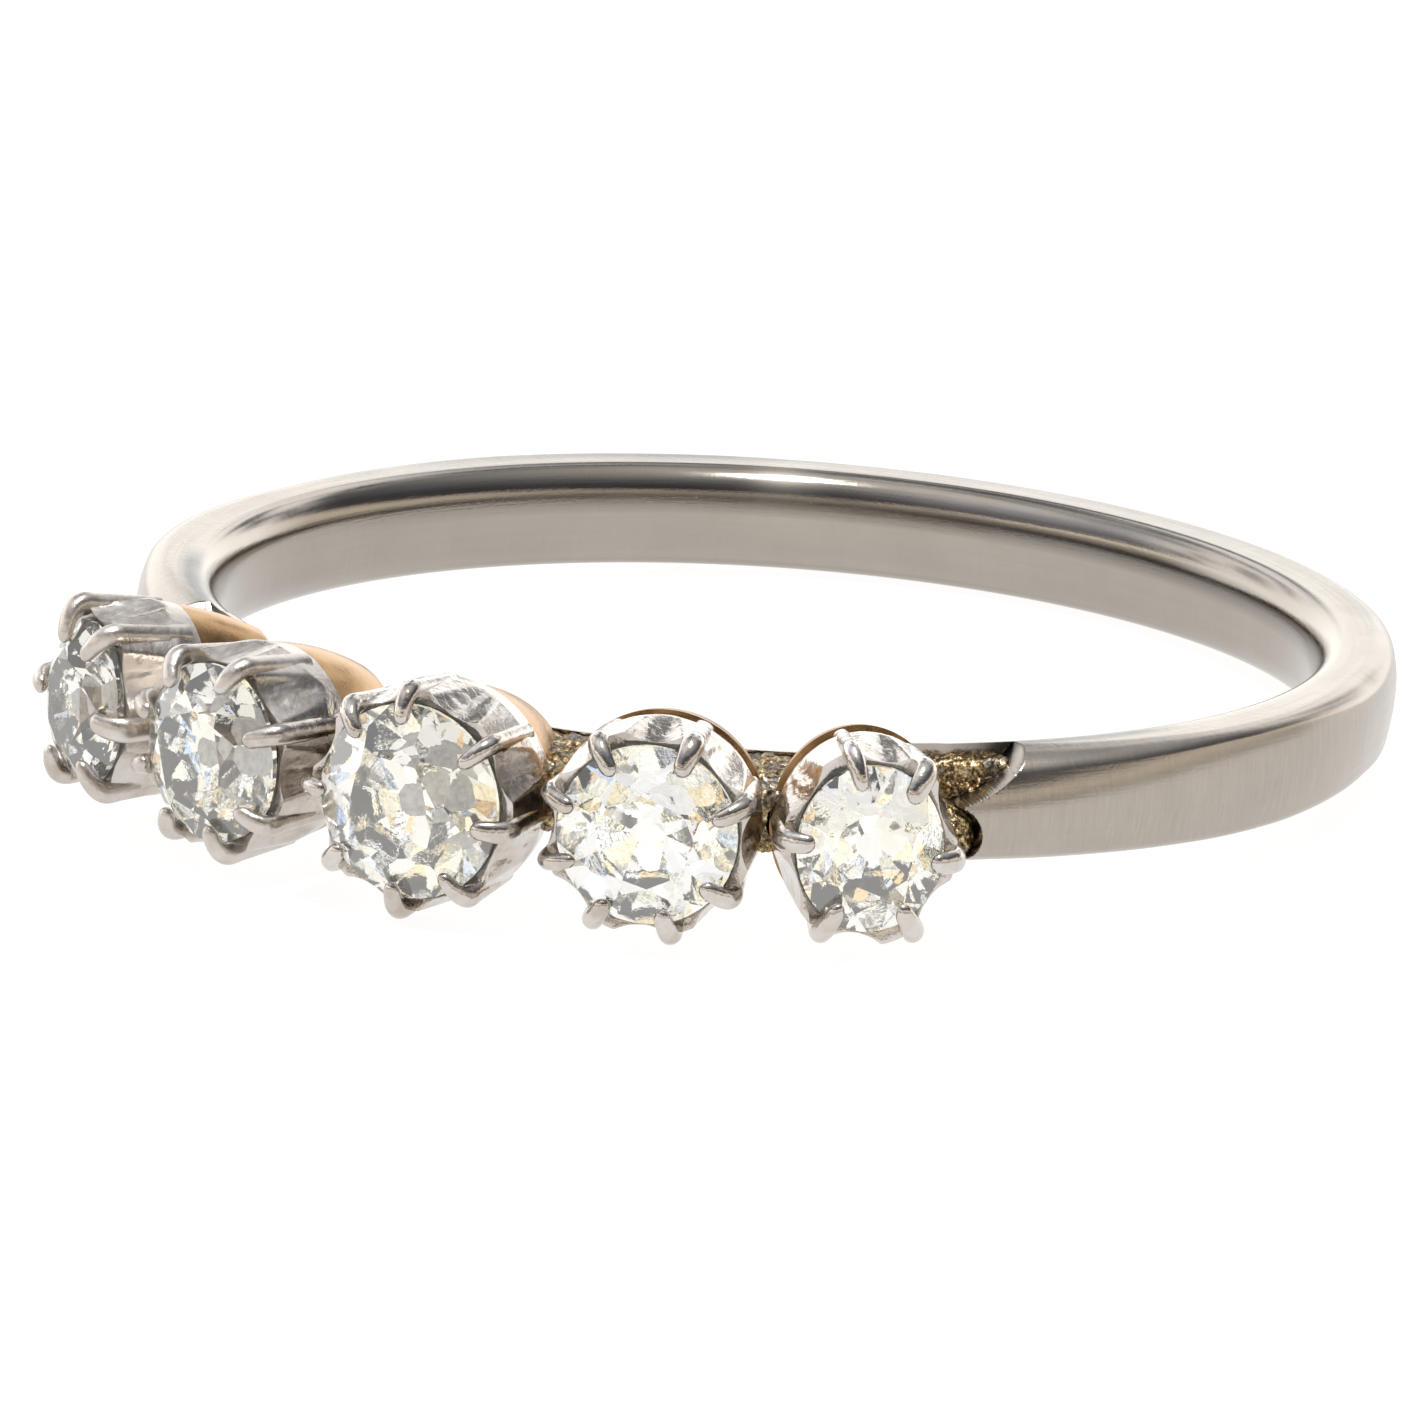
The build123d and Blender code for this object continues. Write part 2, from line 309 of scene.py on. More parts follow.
def band_outside(turns, heights, half):
    """Outer radius of the plain band: outer radius less dome times (distance from the apex / half
    width) squared, less a quarter of an ellipse where the edge is worn round. The ellipse's size
    changes round the band. The apex lies below the middle at the front and above it at the sides."""
    start, end = band_apex["from"], band_apex["to"]
    climb = eased(np.abs(turns) - (start + end) / 2, end - start)
    apex = band_apex["front"] + (band_apex["side"] - band_apex["front"]) * climb
    above = band_dome["above"] * ((heights - apex) / band_half_front) ** 2
    below = band_dome["below"] * ((heights - apex) / (band_half_front + apex)) ** 2
    dome = np.where(heights > apex, above, below)
    edge_height, edge_depth = (np.interp(np.abs(turns), band_outer_round["turn"], band_outer_round[key])
                               for key in ("height", "depth"))
    over = np.clip((np.abs(heights) - half + edge_height) / edge_height, 0, 1)
    rounded = edge_depth * (1 - np.sqrt(1 - over ** 2))
    wave = band_wave * (1 + soft_noise(turns / 4 + 11, heights / 0.9 + 7, 3))
    return outer_radius - dome - rounded - wave


def scoop_distance(turns, heights, scoop):
    """Distance outside a scoop's circle, laid on the band where the shoulder ends. The left
    shoulder's upper scoop is a little shorter."""
    centre = shoulder_angle + scoop["turn"] + left_scoop_shift * (turns < 0) * (scoop is upper_scoop)
    across = np.radians(np.abs(turns) - centre) * (rail_radius + outer_radius) / 2
    return np.hypot(across, heights - scoop["height"]) - scoop["radius"]


def band_height_field(turns, heights, half):
    """Rail radius, plus the plain band's extra thickness wherever a point is past the shoulder
    and outside both scoops. A shallow bevel runs beside the upper scoop."""
    past_end = eased(np.radians(np.abs(turns) - shoulder_angle) * rail_radius, scoop_edge)
    outside_upper = eased(scoop_distance(turns, heights, upper_scoop), scoop_edge)
    outside_lower = eased(scoop_distance(turns, heights, lower_scoop), scoop_edge)
    filed = np.clip(1 - scoop_distance(turns, heights, upper_scoop) / shoulder_bevel["width"], 0, 1)
    filed = filed ** 2 * (np.abs(turns) < 90)
    extra = band_outside(turns, heights, half) - shoulder_bevel["depth"] * filed - rail_radius
    return rail_radius + extra * past_end * outside_upper * outside_lower


plain_turns = np.arange(-180, 180, band_step)
away = (np.abs(plain_turns) < scoop_fine_from) | (np.abs(plain_turns) > scoop_fine_to)
fine_turns = np.linspace(scoop_fine_from, scoop_fine_to, scoop_columns)
step_turns = rail_narrow_angle + np.linspace(-0.5, 0.5, 12)
turns = np.concatenate([plain_turns[away], fine_turns, -fine_turns, step_turns, -step_turns])
turns = np.sort(turns)[:, None]
half = band_half_width(turns)
spread = np.sin(np.linspace(-np.pi / 2, np.pi / 2, band_rows))[None, :]
outer_heights = half * spread
outer_radii = band_height_field(turns, outer_heights, half)
quarter = np.linspace(0, np.pi / 2, 17)[None, :]
off_rail = eased(np.abs(turns) - scoop_fine_from, rail_round_turns)
bend_depth = band_inner_round["depth_at_rail"] * (1 - off_rail) + band_inner_round["depth"] * off_rail
bend_heights = half - band_inner_round["height"] * (1 - np.cos(quarter))
bend_radii = finger_radius + bend_depth * (1 - np.sin(quarter)) + band_comfort * (bend_heights / half) ** 2
wall_heights = (half - band_inner_round["height"]) * np.linspace(1, -1, 15)[None, 1:-1]
wall_radii = finger_radius + band_comfort * (wall_heights / half) ** 2
top_share = np.array([[1, 2]]) / 3
top_radii = outer_radii[:, -1:] * (1 - top_share) + bend_radii[:, :1] * top_share
edge_radii = np.concatenate([top_radii, bend_radii], axis=1)
edge_heights = np.concatenate([half + 0 * top_radii, bend_heights], axis=1)
ring_radii = np.concatenate([outer_radii, edge_radii, wall_radii, edge_radii[:, ::-1]], axis=1)
ring_heights = np.concatenate([outer_heights, edge_heights, wall_heights, -edge_heights[:, ::-1]], axis=1)
band = ring_stack("band", [round_finger(turns, ring_radii, ring_heights)], rows_wrap=True)

# %% Drill the light holes
def drill(turn, radius, start, end, sides=48):
    """A round bar across the band: circles of one radius at two distances from the finger's axis."""
    angles = np.linspace(0, 2 * np.pi, sides, endpoint=False)
    circle = np.stack([radius * np.cos(angles), radius * np.sin(angles), 0 * angles], axis=-1)
    ends = [on_finger(circle + [0, 0, distance - girdle_radius], turn) for distance in (start, end)]
    return np.stack(ends)


drill_start = finger_radius / 2
light_holes = ring_stack("light_holes", [
    drill(row["turn"], light_hole_radius, drill_start, rim_radius) for row in stones])
weld(band, light_holes, "DIFFERENCE")
shade(band, 40)

# %% [markdown]
# ## The gold gallery
# Under each collet sits a rounded gold cup, and all five stand on a strip bent round the finger.
# From the front only their backs show, as smooth amber humps. Each cup is a profile turned
# about the stone's axis. Its foot follows the round finger hole, so below that height every
# point is lifted onto a cylinder, which is one maximum in the formula. The strip is a rounded
# oblong carried along the arc.

# %% Build the cups and the strip
cup_top = -collet_depth - 0.004
cup_foot = rail_radius - girdle_radius - 0.2
cup_foot_share = 0.66
cup_lips = (0, 0, -0.08, 0.065, 0.075)
cup_belly_drop = 0.55
cup_belly_inset = 0.12
strip_inner = rail_radius + 0.03
strip_thickness = 0.2
strip_half_width = 0.56
collar_end_angle = shoulder_angle - np.degrees(0.06 / rail_radius)
cup_columns = 128


def arc_through(a, b, c, count):
    """Points on the circle through three points, from the first to the last: its centre is equally
    far from all three, which is two linear equations."""
    a, b, c = (np.array(p, float) for p in (a, b, c))
    lines = 2 * np.stack([b - a, c - a])
    centre = np.linalg.solve(lines, [b @ b - a @ a, c @ c - a @ a])
    start = np.arctan2(*(a - centre)[::-1])
    end = np.arctan2(*(c - centre)[::-1])
    turn = (end - start + np.pi) % (2 * np.pi) - np.pi
    angles = start + turn * np.linspace(0, 1, count)
    return centre + np.hypot(*(a - centre)) * np.stack([np.cos(angles), np.sin(angles)], axis=-1)


def straight_through(corners, steps):
    """Points on the straight lines from corner to corner, this many steps for each line, up to but
    not including the last corner."""
    corners = np.array(corners, float)
    lines = [start + (end - start) * (np.arange(count) / count)[:, None]
             for start, end, count in zip(corners, corners[1:], steps)]
    return np.concatenate(lines)


def cup_points(row):
    """A profile turned about the stone's axis: over the lip, down the belly's arc, under the foot
    and up the tapered hole, with no point nearer the finger than the strip's inside."""
    mouth = row["radius"] + collet_flare - collet_foot_inset + cup_lips[row["number"] - 1]
    hole = row["radius"] * collet_hole_share
    belly = arc_through((mouth, cup_top), (mouth - cup_belly_inset, cup_top - cup_belly_drop),
                        (row["radius"] * cup_foot_share, cup_foot), 40)
    inside = straight_through([(light_hole_radius, cup_foot), (hole, cup_top), (mouth, cup_top)], (13, 4))
    profile = np.concatenate([belly, inside])
    angles = np.linspace(0, 2 * np.pi, cup_columns, endpoint=False)[:, None]
    across = profile[None, :, 0] * np.cos(angles)
    along = profile[None, :, 0] * np.sin(angles) * row["stretch"]
    floor = np.sqrt(strip_inner ** 2 - across ** 2) - girdle_radius
    out = np.maximum(profile[None, :, 1], floor)
    return on_finger(np.stack([across, along, out], axis=-1), row["turn"])


def rounded_oblong(low, high, corner, count):
    """Points of an oblong with quarter-circle corners, anticlockwise, as (radius, height)."""
    low, high = np.array(low, float), np.array(high, float)
    angles = np.linspace(0, np.pi / 2, count)
    quarter = np.stack([np.cos(angles), np.sin(angles)], axis=-1) * corner
    sides = []
    for turn, middle in ((0, high - corner), (1, (low[0] + corner, high[1] - corner)),
                         (2, low + corner), (3, (high[0] - corner, low[1] + corner))):
        cos, sin = np.cos(turn * np.pi / 2), np.sin(turn * np.pi / 2)
        sides.append(quarter @ np.array([[cos, sin], [-sin, cos]]) + middle)
    return np.concatenate(sides)


def bent_bar(section, start, end, count):
    """A closed section, as (radius, height), carried round the finger from one angle to another."""
    turns = np.linspace(start, end, count)[:, None]
    return round_finger(turns, section[None, :, 0] + 0 * turns, section[None, :, 1])


cups = ring_stack("gold_cups", [cup_points(stones[0])], rows_wrap=True)
for row in stones[1:]:
    weld(cups, ring_stack("cup", [cup_points(row)], rows_wrap=True), "UNION")
strip_section = rounded_oblong((strip_inner, -strip_half_width),
                               (strip_inner + strip_thickness, strip_half_width), 0.05, 6)
strip = ring_stack("strip", [bent_bar(strip_section, -collar_end_angle, collar_end_angle, 140)])
weld(strip, ring_stack("strip_holes", [
    drill(row["turn"], light_hole_radius + 0.1, drill_start, rim_radius) for row in stones]), "DIFFERENCE")
weld(cups, strip, "UNION")
shade(cups, 40)

# %% [markdown]
# ## The solder
# Between the cups, and up to each shoulder, old solder has run and frozen in grains. It is gold
# too, but rough and brownish. One heap fills the upper scoop of each shoulder and a blob sits in
# the lower one. Each fillet is a plain bar, blob or block whose points are pushed along their own
# direction from the middle by three sizes of smooth noise, and they are all joined into one
# crumbly piece.

# %% Build the solder
grain_size = 0.1
grain_height = 0.04
web_waist = 0.16
web_wing = 0.5
web_half_along = 0.64
web_top = finger_radius + 2.0
web_draw_in = {"across": 0.45, "along": 0.3}
heap_section = rounded_oblong((rail_radius - 0.02, 0.04), (rail_radius + 0.36, 0.66), 0.1, 6)
heap_rows = 80
heap_grain_height = 0.07
heap_start = end_angle + 2
heap_least_end = end_angle + 3
heap_short_of_scoop = 0.1
collar_rise = 0.7
collar_section = rounded_oblong((rail_radius + 0.03, -0.68), (rail_radius + collar_rise, 0.16), 0.12, 6)
filler_radius = 0.53
filler_rise = 0.4
bead_radius = 0.2
bead_turn = 0.5
bead_height = -0.52


def grained(points, seed, height=grain_height):
    """Pushes points in or out from the shell's middle line by three sizes of noise, each about
    half as wide and three fifths as high as the last."""
    middle = points.mean(axis=1, keepdims=True)
    away = points - middle
    away = away / np.maximum(np.linalg.norm(away, axis=-1, keepdims=True), 1e-6)
    u = (points[..., 0] + 0.6 * points[..., 1] + 20) / grain_size
    v = (points[..., 2] + 0.7 * points[..., 1] + 40) / grain_size
    push = soft_noise(u, v, seed) + 0.6 * soft_noise(2.1 * u + v, 2.1 * v - u, seed + 1)
    push = push + 0.36 * soft_noise(4.3 * u - v, 4.3 * v + u, seed + 2)
    return points + away * (push * height)[..., None]


def dense(section, count):
    """The same closed outline with evenly spaced points."""
    closed = np.concatenate([section, section[:1]])
    steps = np.hypot(*np.diff(closed, axis=0).T)
    along = np.concatenate([[0], np.cumsum(steps)])
    wanted = np.linspace(0, along[-1], count, endpoint=False)
    return np.stack([np.interp(wanted, along, closed[:, k]) for k in range(2)], axis=-1)


def ball(centre, radius, rings=24, sides=32):
    """A ball as circles of radius sin(a) at heights cos(a), with its poles left to the fans."""
    a = np.linspace(0.15, np.pi - 0.15, rings)[:, None]
    b = np.linspace(0, 2 * np.pi, sides, endpoint=False)[None, :]
    around = np.stack([np.sin(a) * np.cos(b), np.sin(a) * np.sin(b), np.cos(a) + 0 * b], axis=-1)
    return centre + radius * around


def web_points(before, after):
    """A block that fills the space between two round cups: half of its width is the waist plus the
    wing times (height / half length) squared, and it is drawn in towards the top."""
    turn = (before["turn"] + after["turn"]) / 2
    side_heights = np.linspace(-1, 1, 34)
    side_widths = web_waist + web_wing * side_heights ** 2
    right = np.stack([side_widths, side_heights * web_half_along], axis=-1)
    outline = dense(np.concatenate([right, right[::-1] * [-1, 1]]), 130)
    rise = np.linspace(0, 1, 60)[:, None]
    across = outline[None, :, 0] * (1 - web_draw_in["across"] * rise ** 2)
    along = outline[None, :, 1] * (1 - web_draw_in["along"] * rise ** 2)
    out = strip_inner + 0.02 + (web_top - strip_inner) * rise - girdle_radius
    return on_finger(np.stack([across, along, out + 0 * across], axis=-1), turn)


def heap_points(side):
    """A bar on the rail that fills the upper scoop. Each point's angle ends where the scoop's circle
    is at the point's own height: the circle's centre plus the root of r squared less h squared."""
    section = dense(heap_section, 100)
    reach = np.sqrt(upper_scoop["radius"] ** 2 - (section[:, 1] - upper_scoop["height"]).clip(
        -upper_scoop["radius"]) ** 2)
    middle_radius = (rail_radius + outer_radius) / 2
    last = shoulder_angle + upper_scoop["turn"] + np.degrees(reach / middle_radius) - heap_short_of_scoop
    last = np.maximum(last + left_scoop_shift * (side < 0), heap_least_end)
    share = np.linspace(0, 1, heap_rows)[:, None]
    turns = side * (heap_start + (last - heap_start) * share)
    return round_finger(turns, section[:, 0] + 0 * turns, section[:, 1])


solder_shells = [grained(web_points(a, b), 20 + k) for k, (a, b) in enumerate(zip(stones, stones[1:]))]
for side in (-1, 1):
    collar = bent_bar(dense(collar_section, 110), side * end_angle, side * collar_end_angle, 56)
    solder_shells.append(grained(collar, 30 + side))
    bead_centre = round_finger(side * (collar_end_angle + bead_turn), rail_radius + collar_rise,
                               bead_height)
    solder_shells.append(grained(ball(bead_centre, bead_radius), 40 + side))
    solder_shells.append(grained(heap_points(side), 60 + side, heap_grain_height))
    filler_centre = round_finger(side * (shoulder_angle + lower_scoop["turn"]), rail_radius + filler_rise,
                                 lower_scoop["height"])
    solder_shells.append(grained(ball(filler_centre, filler_radius, rings=70, sides=90), 80 + side))
solder = ring_stack("solder", solder_shells[:1])
for number, shell in enumerate(solder_shells[1:]):
    weld(solder, ring_stack(f"solder_{number}", [shell]), "UNION")
shade(solder, 60)

# %% [markdown]
# ## The collets
# A crown collet starts as a platinum cone. The setter cuts a flute between every two claws with
# a round graver, so the wall is scooped thinner towards the stone, and the cuts keep the tool's
# chatter. The wall is a polar surface: for every direction round the stone, a profile runs up
# the outside, over the top edge and down the seat. Outside, the radius is the smaller of the
# cone and the nearest flute, blended where they meet. The claws are tapered bars carried along a
# path that climbs the wall and bends over the stone, and each is turned, widened and shortened a
# little differently, because they were pushed down by hand.

# %% The fluted wall
wall_columns_per_flute = 36
seat_drop = 0.02
wall_top = -girdle_thickness / 2 - seat_drop
seat_slope = 0.949
facet_spread = 1 / np.cos(np.pi / 16)
seat_overlap = 0.015
chatter = 0.014
chatter_fades_over = 0.05
rim_blend = 0.025


def smaller(a, b, width):
    """The smaller of two values, with the corner between them rounded over this width."""
    mix = np.clip(0.5 + (b - a) / (2 * width), 0, 1)
    return b * (1 - mix) + a * mix - width * mix * (1 - mix)


def wall_points(row, seed):
    """Outside: the smaller of the cone's radius and c cos(a) - sqrt(f^2 - c^2 sin^2(a)), the near
    side of a flute of radius f whose axis is c away from the stone's, at an angle a beside it.
    Inside: straight lines down the seat and the hole, and back under the foot."""
    radius, claws = row["radius"], row["claws"]
    rim = radius + collet_flare
    foot = rim - collet_foot_inset
    hole = radius * collet_hole_share
    seat = (radius - seat_drop / seat_slope) * facet_spread + seat_overlap
    seat_bottom = wall_top - (seat - hole) / facet_spread * seat_slope
    angles = np.linspace(0, 2 * np.pi, claws * wall_columns_per_flute, endpoint=False)[:, None]
    heights = np.concatenate([np.linspace(-collet_depth, -flute_depth, 10)[:-1],
                              np.linspace(-flute_depth, wall_top, 52)])[None, :]
    cone = np.where(heights < -flute_depth,
                    foot + (rim - foot) * (heights + collet_depth) / (collet_depth - flute_depth), rim)
    step = 2 * np.pi / claws
    beside = (angles - np.radians(row["first"] + 180 / claws) + step / 2) % step - step / 2
    lean = (collet_flare - flute_edge) / flute_reach
    axis = radius + flute_edge + flute_radius * np.hypot(1, lean) - heights * lean
    under_root = flute_radius ** 2 - (axis * np.sin(beside)) ** 2
    flute = axis * np.cos(beside) - np.sqrt(np.maximum(under_root, 0))
    flute = np.where(under_root > 0, flute, rim + 0.1)
    radii = smaller(cone, flute, rim_blend)
    cut = np.clip((cone - radii) / chatter_fades_over, 0, 1)
    arc = angles * radius
    marks = soft_noise(arc / 0.1 + 5, heights / 0.9 + 9, seed)
    marks = marks + 0.4 * soft_noise(arc / 0.05 + 3, heights / 0.12 + 2, seed + 1)
    radii = radii + chatter * cut * marks * np.clip((wall_top - heights) / 0.3, 0.2, 1)
    seat_and_hole = straight_through(
        [(seat, wall_top), (hole, seat_bottom), (hole, -collet_depth), (foot, -collet_depth)], (8, 4, 4))
    ring_radii = np.concatenate([radii, seat_and_hole[None, :, 0] + 0 * angles], axis=1)
    ring_heights = np.concatenate([heights + 0 * angles, seat_and_hole[None, :, 1] + 0 * angles], axis=1)
    return np.stack([ring_radii * np.cos(angles), ring_radii * np.sin(angles), ring_heights], axis=-1)


# %% The claws
claw_rows = 44
claw_sides = 20
claw_stations = {
    "share": (0, 0.3, 0.5, 0.68, 0.84, 0.95, 1),
    "out": (0.1, 0.14, 0.18, 0.19, 0.03, -0.16, -0.25),
    "rise": (-1.3, -0.8, -0.3, 0.04, 0.24, 0.33, 0.37),
    "width": (0.17, 0.165, 0.165, 0.165, 0.15, 0.13, 0.12),
    "depth": (0.13, 0.14, 0.15, 0.16, 0.13, 0.11, 0.1),
}


def smooth_through(shares, values, wanted):
    """A curve through the values: between two stations it is the cubic whose slopes at both ends
    are the slopes between their neighbours."""
    slopes = np.gradient(values, shares)
    k = np.clip(np.searchsorted(shares, wanted, side="right") - 1, 0, len(shares) - 2)
    gap = shares[k + 1] - shares[k]
    t = (wanted - shares[k]) / gap
    return ((2 * t ** 3 - 3 * t ** 2 + 1) * values[k] + (t ** 3 - 2 * t ** 2 + t) * gap * slopes[k]
            + (3 * t ** 2 - 2 * t ** 3) * values[k + 1] + (t ** 3 - t ** 2) * gap * slopes[k + 1])


def claw_points(row, turn, rng):
    """An oval carried along a path in the plane of the stone's axis: outwards and upwards come
    from smooth curves through the stations, and the end closes like half an egg."""
    share = np.linspace(0, 1, claw_rows)
    share = 1 - (1 - share) ** 1.6
    stations = {key: np.array(values, float) for key, values in claw_stations.items()}
    reach = rng.uniform(0.85, 1.2)
    stations["out"] = np.where(stations["out"] < 0, stations["out"] * reach, stations["out"])
    stations["width"] = stations["width"] * rng.uniform(0.88, 1.12)
    out, rise, width, depth = (smooth_through(stations["share"], stations[key], share)
                               for key in ("out", "rise", "width", "depth"))
    closing = np.sqrt(np.clip(1 - np.clip((share - 0.93) / 0.07, 0, 1) ** 2, 0.02, 1))
    width, depth = width * closing, depth * closing
    slope = np.arctan2(np.gradient(rise), np.gradient(out))
    around = np.linspace(0, 2 * np.pi, claw_sides, endpoint=False)[None, :]
    side = width[:, None] * np.cos(around)
    lift = depth[:, None] * np.sin(around)
    distance = row["radius"] + out[:, None] + lift * np.sin(slope)[:, None]
    height = rise[:, None] - lift * np.cos(slope)[:, None]
    twist = rng.uniform(-0.12, 0.12)
    side = side + twist * np.clip(share - 0.6, 0, 1)[:, None]
    angle = np.radians(turn)
    across = distance * np.cos(angle) - side * np.sin(angle)
    along = distance * np.sin(angle) + side * np.cos(angle)
    return np.stack([across, along, height + 0 * side], axis=-1)


def build_collet(row):
    """The wall with all its claws welded on, stretched along the finger and set on the ring."""
    rng = np.random.default_rng(60 + row["number"])
    stretch = np.array([1, row["stretch"], 1])
    wall = on_finger(wall_points(row, 70 + row["number"]) * stretch, row["turn"])
    piece = ring_stack(f"crown_collet_{row['number']}", [wall], rows_wrap=True)
    turns = row["first"] + np.arange(row["claws"]) * 360 / row["claws"] + np.array(row["pushed"])
    claws = [on_finger(claw_points(row, turn, rng) * stretch, row["turn"]) for turn in turns]
    weld(piece, ring_stack("claws", claws), "UNION")
    return shade(piece, 50)


collets = [build_collet(row) for row in stones]

# %% [markdown]
# ## The stones
# An old-cut diamond was ground by hand: a small table, a high crown, a chunky pavilion and a
# polished-off culet that shows as a small window in the middle. Each facet is a plane, and the
# stone is what lies inside all of them. So the stone is a list of planes, and its corners are the
# points where three planes meet and that no other plane cuts off. That is solved for all triples
# at once. A slight seeded error in the facets of crown and pavilion gives the uneven flashes of
# hand work. How the facets lie is a guess, because the photograph doesn't show them all.

# %% Grind the stones
stone_cuts = {"table": 0.54, "culet": 0.17, "crown": 36, "crown_break": 41, "star": 22,
              "pavilion": 41, "pavilion_break": 43}
girdle_sides = 40


def facet_planes(row, rng):
    """Unit normals and distances, the table's first and the culet's second. A facet of slope s that
    meets the girdle's circle r at height h has the normal (sin s, cos s) and the distance
    r sin s + h cos s. Each ring of facets is a number, a shift in steps, a slope, a reach, a side
    of the girdle and an error in degrees."""
    radius = row["radius"]
    edge = girdle_thickness / 2
    table_height = edge + radius * (1 - stone_cuts["table"]) * np.tan(np.radians(stone_cuts["crown"]))
    star_reach = radius * stone_cuts["table"] * np.cos(np.pi / 8) + (
        table_height - edge) / np.tan(np.radians(stone_cuts["star"]))
    depth = edge + radius * (1 - stone_cuts["culet"]) * np.tan(np.radians(stone_cuts["pavilion"]))
    rings = [
        (girdle_sides, 0.5, 90, radius, 1, 0),
        (8, 0, stone_cuts["crown"], radius, 1, 1.2),
        (16, 0.5, stone_cuts["crown_break"], radius, 1, 1.0),
        (8, 0.5, stone_cuts["star"], star_reach, 1, 0.8),
        (8, 0, stone_cuts["pavilion"], radius, -1, 0.9),
        (16, 0.5, stone_cuts["pavilion_break"], radius, -1, 0.8),
    ]
    normals = [[0, 0, 1], [0, 0, -1]]
    distances = [table_height, depth]
    for count, shift, slope_degrees, reach, side, error in rings:
        for k in range(count):
            turn = 2 * np.pi * (k + shift) / count
            turn += np.radians(rng.normal() * error * 2)
            slope = np.radians(slope_degrees + rng.normal() * error)
            across = np.sin(slope)
            normals.append([across * np.cos(turn), across * np.sin(turn), np.cos(slope) * side])
            distances.append(reach * np.sin(slope) + edge * np.cos(slope))
    return np.array(normals), np.array(distances)


def ground_solid(normals, distances, tolerance=1e-7):
    """Corners and faces of the solid inside all planes: the points where three planes meet, kept
    where they lie on the inner side of every other plane, and sorted round each plane."""
    count = len(normals)
    triples = np.stack(np.meshgrid(*[np.arange(count)] * 3, indexing="ij"), axis=-1).reshape(-1, 3)
    triples = triples[(triples[:, 0] < triples[:, 1]) & (triples[:, 1] < triples[:, 2])]
    systems = normals[triples]
    solvable = np.abs(np.linalg.det(systems)) > 1e-6
    meets = np.linalg.solve(systems[solvable], distances[triples[solvable]][..., None])[..., 0]
    meets = meets[(meets @ normals.T - distances <= tolerance).all(axis=1)]
    corners = np.unique(np.round(meets, 6), axis=0)
    faces = []
    for normal, distance in zip(normals, distances):
        on_plane = np.flatnonzero(np.abs(corners @ normal - distance) < 3e-6)
        if len(on_plane) < 3:
            continue
        middle = corners[on_plane].mean(axis=0)
        side = np.cross(normal, [0.31, 0.52, 0.79])
        up = np.cross(normal, side)
        away = corners[on_plane] - middle
        faces.append(on_plane[np.argsort(np.arctan2(away @ up, away @ side))].tolist())
    return corners, faces


def build_stone(row):
    """Grinds one stone, turns it a little in its collet, and sets it on the ring."""
    rng = np.random.default_rng(80 + row["number"])
    corners, faces = ground_solid(*facet_planes(row, rng))
    turn = np.radians(rng.uniform(-20, 20))
    turned = corners.copy()
    turned[:, 0] = corners[:, 0] * np.cos(turn) - corners[:, 1] * np.sin(turn)
    turned[:, 1] = (corners[:, 0] * np.sin(turn) + corners[:, 1] * np.cos(turn)) * row["stretch"]
    mesh = bpy.data.meshes.new(f"old_cut_{row['number']}")
    mesh.from_pydata((on_finger(turned, row["turn"]) * mm).tolist(), [], faces)
    mesh.validate()
    print(mesh.name, "has", len(faces), "facets")
    return place(mesh.name, mesh)


diamonds = [build_stone(row) for row in stones]

# %% [markdown]
# ## Mixing finishes
# A finish is a tree of shader nodes round one Principled shader. To keep the sums readable, a
# small class wraps a socket, so that 1 - mask * 0.5 adds the Math nodes by itself. Another class
# holds one material, and its node method adds any other kind of node.

# %% Shader helpers
class Value:
    """A number that varies over a surface: one output socket, with Python's operators."""

    def __init__(self, finish, socket):
        self.finish = finish
        self.socket = socket

    def maths(self, operation, *others):
        inputs = [self, *others]
        return self.finish.node("ShaderNodeMath", {"operation": operation}, dict(enumerate(inputs)))

    def __add__(self, other):
        return self.maths("ADD", other)

    def __mul__(self, other):
        return self.maths("MULTIPLY", other)

    def __sub__(self, other):
        return self.maths("SUBTRACT", other)

    def __rsub__(self, other):
        return self.finish.node("ShaderNodeMath", {"operation": "SUBTRACT"}, {0: other, 1: self})

    def __pow__(self, other):
        return self.maths("POWER", other)

    __radd__ = __add__


